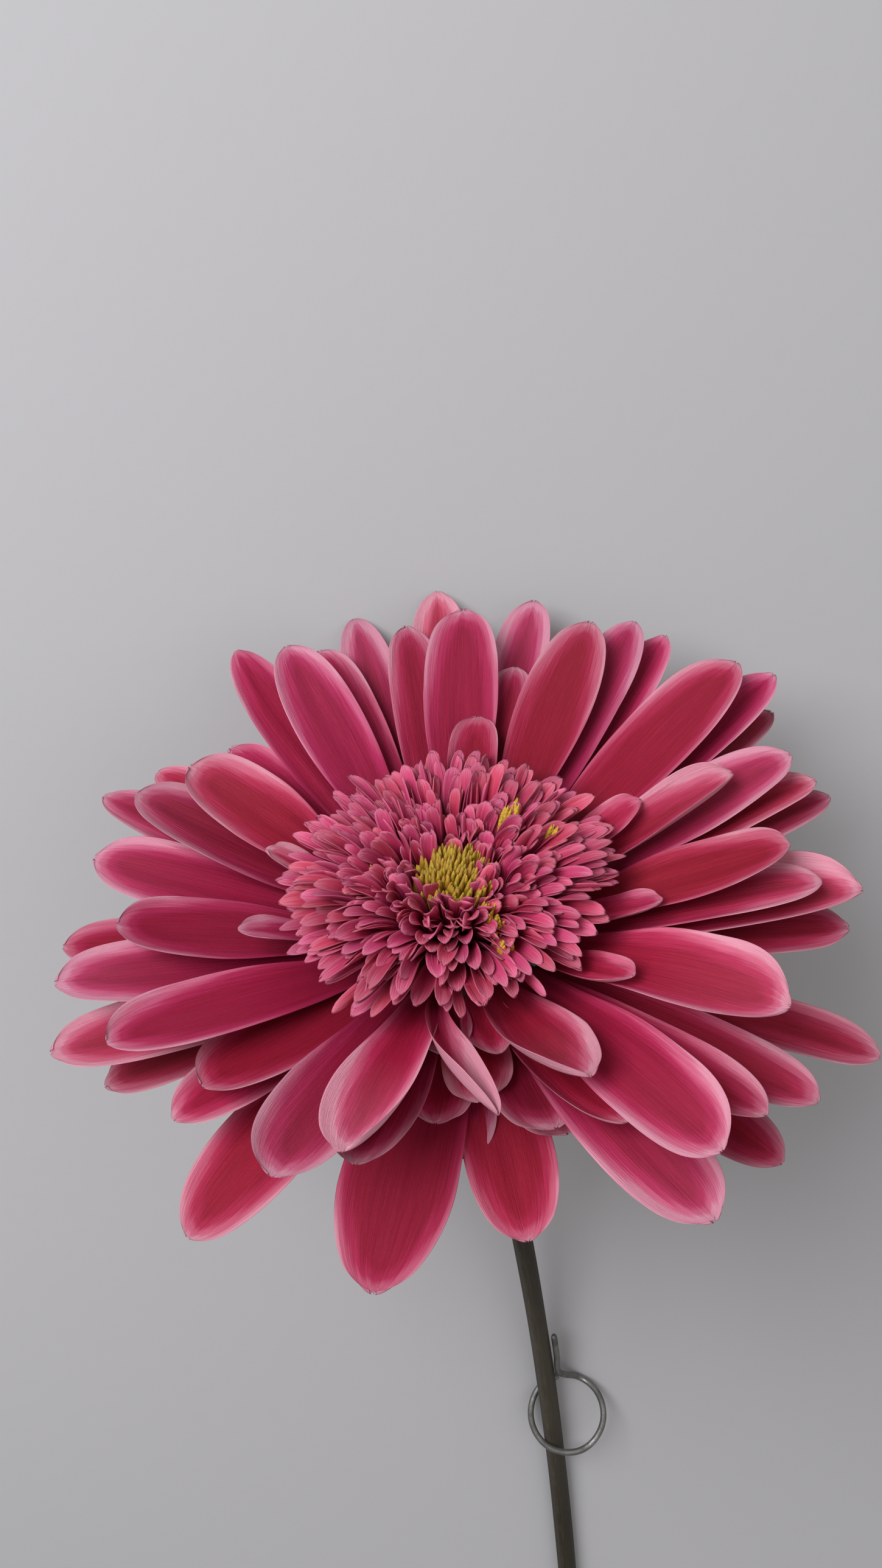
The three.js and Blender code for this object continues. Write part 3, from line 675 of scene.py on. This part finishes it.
centre = Shape()
BUDS = 210
BUTTON_RADIUS = 6.2
BUTTON_TOP = 8.6
BUTTON_SHIFT = np.array([1.2, -0.8, 0])
for i in range(BUDS):
    radius = (BUTTON_RADIUS - 0.45) * math.sqrt((i + 0.5) / BUDS)
    azimuth = i * GOLDEN + rng.uniform(-0.3, 0.3)
    out, _ = directions(azimuth)
    top = BUTTON_TOP - 0.9 * (radius / BUTTON_RADIUS) ** 2 + rng.uniform(-0.25, 0.25)
    foot = out * radius * 0.75 + UP * DISC_FOOT
    tip = out * radius + BUTTON_SHIFT + UP * top
    bud(centre, foot, tip, rng.uniform(0.5, 0.62), rng.uniform(0, 10))
centre.piece("disc_buds", CENTRE, "disc_centre", ["disc_centre"])

pollen = Shape()
# Azimuth (deg), radius (mm) and number of grains.
CLUSTERS = [
    (149, 9.5, 10), (154, 13.0, 18), (157, 16.2, 12), (56, 12.5, 10), (273, 9.0, 5), (82, 15.0, 3),
    (325, 11.5, 2),
]
for azimuth, radius, count in CLUSTERS:
    for _ in range(count):
        angle = math.radians(azimuth + rng.uniform(-4, 4))
        r = radius + rng.uniform(-1.3, 1.3)
        out, _ = directions(angle)
        top = crown_height(r, angle) + rng.uniform(-0.2, 0.5)
        foot = out * (r - 1.6) + UP * (top - 4.2)
        bud(pollen, foot, out * r + UP * top, rng.uniform(0.34, 0.5), rng.uniform(0, 10))
pollen.piece("pollen", POLLEN, "disc_centre")

# ---------------------------------------------------------------- receptacle and bracts
# Radius and height, from the neck up and in over the top.
profile = np.array([
    (0.05, NECK), (3.4, NECK), (NECK_RADIUS, NECK + 0.25), (7.4, NECK + 1.5), (10.4, NECK + 3.1),
    (12.0, NECK + 4.7), (12.55, NECK + 6.2), (RECEPTACLE_RADIUS, -5.0), (RECEPTACLE_RADIUS, -2.0),
    (RECEPTACLE_RADIUS, RECEPTACLE_TOP - 0.4), (12.3, RECEPTACLE_TOP), (6, RECEPTACLE_TOP),
    (0.05, RECEPTACLE_TOP),
])
RECEPTACLE_SIDES = 72
turns = np.arange(RECEPTACLE_SIDES) / RECEPTACLE_SIDES * 2 * math.pi
lumps = 1 + 0.008 * np.cos(turns * 21)
rings = [
    np.stack([
        np.sin(turns) * radius * lumps, np.cos(turns) * radius * lumps, np.full(RECEPTACLE_SIDES, height),
    ], -1)
    for radius, height in profile
]
grid = np.arange(len(profile) * RECEPTACLE_SIDES).reshape(len(profile), RECEPTACLE_SIDES)
beside = np.roll(grid, -1, axis=1)
faces = np.stack([grid[:-1], grid[1:], beside[1:], beside[:-1]], -1).reshape(-1, 4).tolist()
faces += [grid[0].tolist(), grid[-1][::-1].tolist()]
receptacle = Shape()
receptacle.add(to_world(np.concatenate(rings)), faces, along=0.2, across=np.tile(turns, len(profile)),
               seed=1.0, red=np.repeat(smooth((profile[:, 1] + 6.5) / 2), RECEPTACLE_SIDES))
receptacle.piece("receptacle_body", BRACT, "bract", ["receptacle"])

bracts = Shape()
# Turn as a share of a bract's spacing, number of bracts, width (mm), and how far up the row ends.
BRACT_ROWS = [(0.0, 19, 3.4, 1.9), (0.5, 19, 3.7, 1.1), (0.25, 15, 3.2, 0.3)]
TOP_ROW = 1.9
# Radius and height along the middle of a bract.
bract_line = np.array([(4.9, -14.5), (8.4, -13.3), (11.6, -11.0), (13.6, -9.4), (16.4, -8.9)])
for shift, count, width, level in BRACT_ROWS:
    for i in range(count):
        azimuth = (i + shift) / count * 2 * math.pi + rng.uniform(-0.04, 0.04)
        out, beside = directions(azimuth)
        s = np.linspace(0, 1, 15)
        reach = (0.72 + 0.14 * level) * rng.uniform(0.96, 1.0)
        knots = np.linspace(0, 1, len(bract_line))
        rho = np.interp(s * reach, knots, bract_line[:, 0]) + (TOP_ROW - level) * 0.18
        z = np.interp(s * reach, knots, bract_line[:, 1]) - (TOP_ROW - level) * 0.32
        middle = rho[:, None] * out + z[:, None] * UP
        along = unit(np.gradient(middle, axis=0))
        side = np.repeat(beside[None], len(s), 0)
        face = np.cross(side, along)
        half = width / 2 * (0.75 + 0.25 * smooth(s / 0.4)) * np.sqrt(np.maximum(0.004, 1 - s ** 2.2))
        across = np.sin(np.linspace(-1, 1, 7) * math.pi / 2)
        rise = (0.22 * half)[:, None] * across ** 2
        thickness = (0.3 * np.sqrt(np.clip(1 - s ** 8, 0, 1)))[:, None] * np.sqrt(1 - across ** 4)
        points, quads, rows_at, columns_at, _ = blade(middle, side, face, half, across, rise, thickness)
        bracts.add(to_world(points), quads, along=s[rows_at], across=across[columns_at],
                   seed=rng.uniform(0, 10))
bracts.piece("bracts", BRACT, "bract", ["involucre"])

# ---------------------------------------------------------------- stem
STEM_TOP_RADIUS, STEM_RADIUS, STEM_CUT_RADIUS = 3.4, 1.85, 1.65
STEM_FLARE = 14
LYING_LENGTH = 150
STEM_BOW, STEM_BOW_LENGTH = 7, 240
CUT_SLANT = 0.6
NECK_GAP = 0.9
neck_at = to_world(np.array([0, 0, NECK - NECK_GAP]))
arch_radius = (neck_at[2] - STEM_TOP_RADIUS) / (1 - math.cos(HEAD_TILT))
arch_length = arch_radius * HEAD_TILT
stem_length = arch_length + LYING_LENGTH


def stem_radius(s):
    """Its radius at s mm from the neck."""
    flare = np.maximum(0, 1 - s / STEM_FLARE)
    taper = STEM_RADIUS + (STEM_CUT_RADIUS - STEM_RADIUS) * s / stem_length
    return taper + (STEM_TOP_RADIUS - STEM_RADIUS) * flare * flare


def stem_at(s):
    """Its middle at s mm from the neck: an arch down to the surface, then along it."""
    s = np.asarray(s, float)
    slope = np.maximum(0, 1 - s / arch_length) * HEAD_TILT
    past = np.maximum(0, s - arch_length)
    x = HEAD[0] + STEM_BOW * np.sin(math.pi * s / STEM_BOW_LENGTH)
    y = neck_at[1] - arch_radius * math.sin(HEAD_TILT) + arch_radius * np.sin(slope) - past
    z = stem_radius(s) + arch_radius * (1 - np.cos(slope))
    return np.stack([x, y, z], -1)


STEM_SIDES = 48
s = np.concatenate([np.linspace(-0.8, STEM_FLARE, 16)[:-1], np.linspace(STEM_FLARE, stem_length, 190)])
turn = np.arange(STEM_SIDES) / STEM_SIDES * 2 * math.pi
ribs = 0.028 * np.cos(turn * 9 + 0.6)[None] + 0.012 * np.cos(turn * 14)[None]
swell = 0.012 * np.sin(s / 17)[:, None] + 0.01 * np.sin(s / 5.3 + 1)[:, None]
fade = smooth(np.abs(s) / STEM_FLARE)[:, None]
radii = stem_radius(s)[:, None] * (0.975 + (ribs + swell) * fade)
points, _ = tube(stem_at(s), radii, STEM_SIDES)
points = points.reshape(len(s), STEM_SIDES, 3)
slant = smooth((s - stem_length + 6) / 6)[:, None]
points[..., 1] -= CUT_SLANT * (points[..., 2] - STEM_CUT_RADIUS) * slant
# The cut end: a rim that turns in, then the pale flesh with a small hollow in it.
last = points[-1]
middle = last.mean(0)
rims = [middle + (last - middle) * k + np.array([0, d, 0]) for k, d in
        ((0.93, -0.12), (0.86, -0.05), (0.55, 0.1), (0.3, 0.35), (0.22, 1.6), (0.02, 2.2))]
points = np.concatenate([points.reshape(-1, 3), *rims])
count = len(s) + len(rims)
along = np.concatenate([s, np.full(len(rims), stem_length)])
cut = np.concatenate([np.zeros(len(s) + 1), np.ones(len(rims) - 1)])
stem = Shape()
stem.add(points, skin(count, STEM_SIDES), along=np.repeat(along, STEM_SIDES), cut=np.repeat(cut, STEM_SIDES),
         turn=np.tile(np.sin(turn) * 2.1 + np.cos(turn) * 3.3, count))
stem.piece("stem_stalk", STEM, "stem", ["stem"])

# ---------------------------------------------------------------- wire ring
WIRE_RADIUS = 0.6
WIRE_RING_RADIUS = 6.9
WIRE_TAIL = 12
WIRE_PLACE = 27
WIRE_SLACK = 1.4
WIRE_OPENING = (-6, 24)
WIRE_SIDES = 20
ring_place = arch_length - WIRE_PLACE
ring_stem = stem_at(ring_place)
crossing = ring_place + WIRE_RING_RADIUS
over = stem_at(crossing)[2] + stem_radius(crossing) + GAP * 2 + WIRE_RADIUS
hang = WIRE_RING_RADIUS - WIRE_RADIUS - WIRE_SLACK - stem_radius(ring_place)
ring_rise = (over - WIRE_RADIUS) / (1 + math.sqrt(1 - (hang / WIRE_RING_RADIUS) ** 2))
ring_tilt = math.asin(ring_rise / WIRE_RING_RADIUS)
around = np.radians(np.linspace(WIRE_OPENING[1], 360 + WIRE_OPENING[0], 17))
forward = np.cos(around) * WIRE_RING_RADIUS
loop = np.stack([
    ring_stem[0] + hang + np.sin(around) * WIRE_RING_RADIUS,
    ring_stem[1] + math.cos(ring_tilt) * forward,
    WIRE_RADIUS + ring_rise - math.sin(ring_tilt) * forward,
], -1)
tail = stem_at(ring_place - WIRE_RING_RADIUS - WIRE_TAIL * np.array([1, 0.6, 0.25]))
tail[:, 0] += stem_radius(ring_place) + GAP + WIRE_RADIUS
knots = np.concatenate([tail, loop])


def through(knots, each=10):
    """A smooth line through knots."""
    ends = np.concatenate([2 * knots[:1] - knots[1:2], knots, 2 * knots[-1:] - knots[-2:-1]])
    t = np.linspace(0, 1, each, endpoint=False)[:, None]
    line = []
    for a, b, c, d in zip(ends, ends[1:], ends[2:], ends[3:]):
        line.append(b + 0.5 * t * (c - a + t * (2 * a - 5 * b + 4 * c - d + t * (3 * (b - c) + d - a))))
    return np.concatenate([*line, knots[-1:]])


path = through(knots)
wobble = np.sin(np.arange(len(path)) * 0.21) * 0.05
path[:, 2] += wobble + 0.05
radii = np.full(len(path), WIRE_RADIUS * 0.96)
# Both ends are slightly rounded.
radii[[0, -1]] *= 0.72
radii[[1, -2]] *= 0.95
points, faces = tube(path, radii, WIRE_SIDES)
wire = Shape()
wire.add(points, faces)
wire.piece("wire_loop", WIRE, "wire", ["wire_ring"])

# ---------------------------------------------------------------- surface, light and camera
bpy.ops.mesh.primitive_plane_add(size=6, location=(0, 0, 0))
floor = bpy.context.object
floor.name = "floor"
floor.data.materials.append(floor_look())

CAMERA_PLACE = np.array([0, -119.3, 128.0])
CAMERA_AIM = np.array([0.7, 25.9, 0.0])
CAMERA_UP = np.array([0.122, 0.656, 0.745])
eye, aim = to_world(CAMERA_PLACE), to_world(CAMERA_AIM)
backward = unit(eye - aim)
right = unit(np.cross(CAMERA_UP @ HEAD_AXES, backward))
upward = np.cross(backward, right)
camera_data = bpy.data.cameras.new("camera")
camera = bpy.data.objects.new("camera", camera_data)
bpy.context.scene.collection.objects.link(camera)
turned = Matrix((right, upward, backward)).transposed().to_4x4()
camera.matrix_world = Matrix.Translation(Vector(eye * MM)) @ turned
camera_data.sensor_width = 36
camera_data.lens = 28.8
camera_data.clip_start = 0.01
bpy.context.scene.camera = camera


def softbox(name, where, towards, size, power, colour):
    """A round, soft lamp; size in metres and power in watts."""
    data = bpy.data.lights.new(name, "AREA")
    data.shape = "DISK"
    data.size = size
    data.energy = power
    data.color = colour
    lamp = bpy.data.objects.new(name, data)
    lamp.location = where
    lamp.rotation_euler = (Vector(towards) - Vector(where)).to_track_quat("-Z", "Y").to_euler()
    bpy.context.scene.collection.objects.link(lamp)


head_at = tuple(HEAD * MM)
softbox("key", (-0.28, 0.44, 0.46), head_at, 0.40, 3.25, (0.985, 0.985, 1.0))
softbox("fill", (0.35, 0.05, 0.75), head_at, 0.9, 1.0, (1.0, 0.98, 0.97))
world = bpy.data.worlds.new("world")
bpy.context.scene.world = world
world.use_nodes = True
world.node_tree.nodes["Background"].inputs["Color"].default_value = (1.0, 0.975, 0.96, 1)
world.node_tree.nodes["Background"].inputs["Strength"].default_value = 0.30
bpy.context.scene.view_settings.view_transform = "Standard"
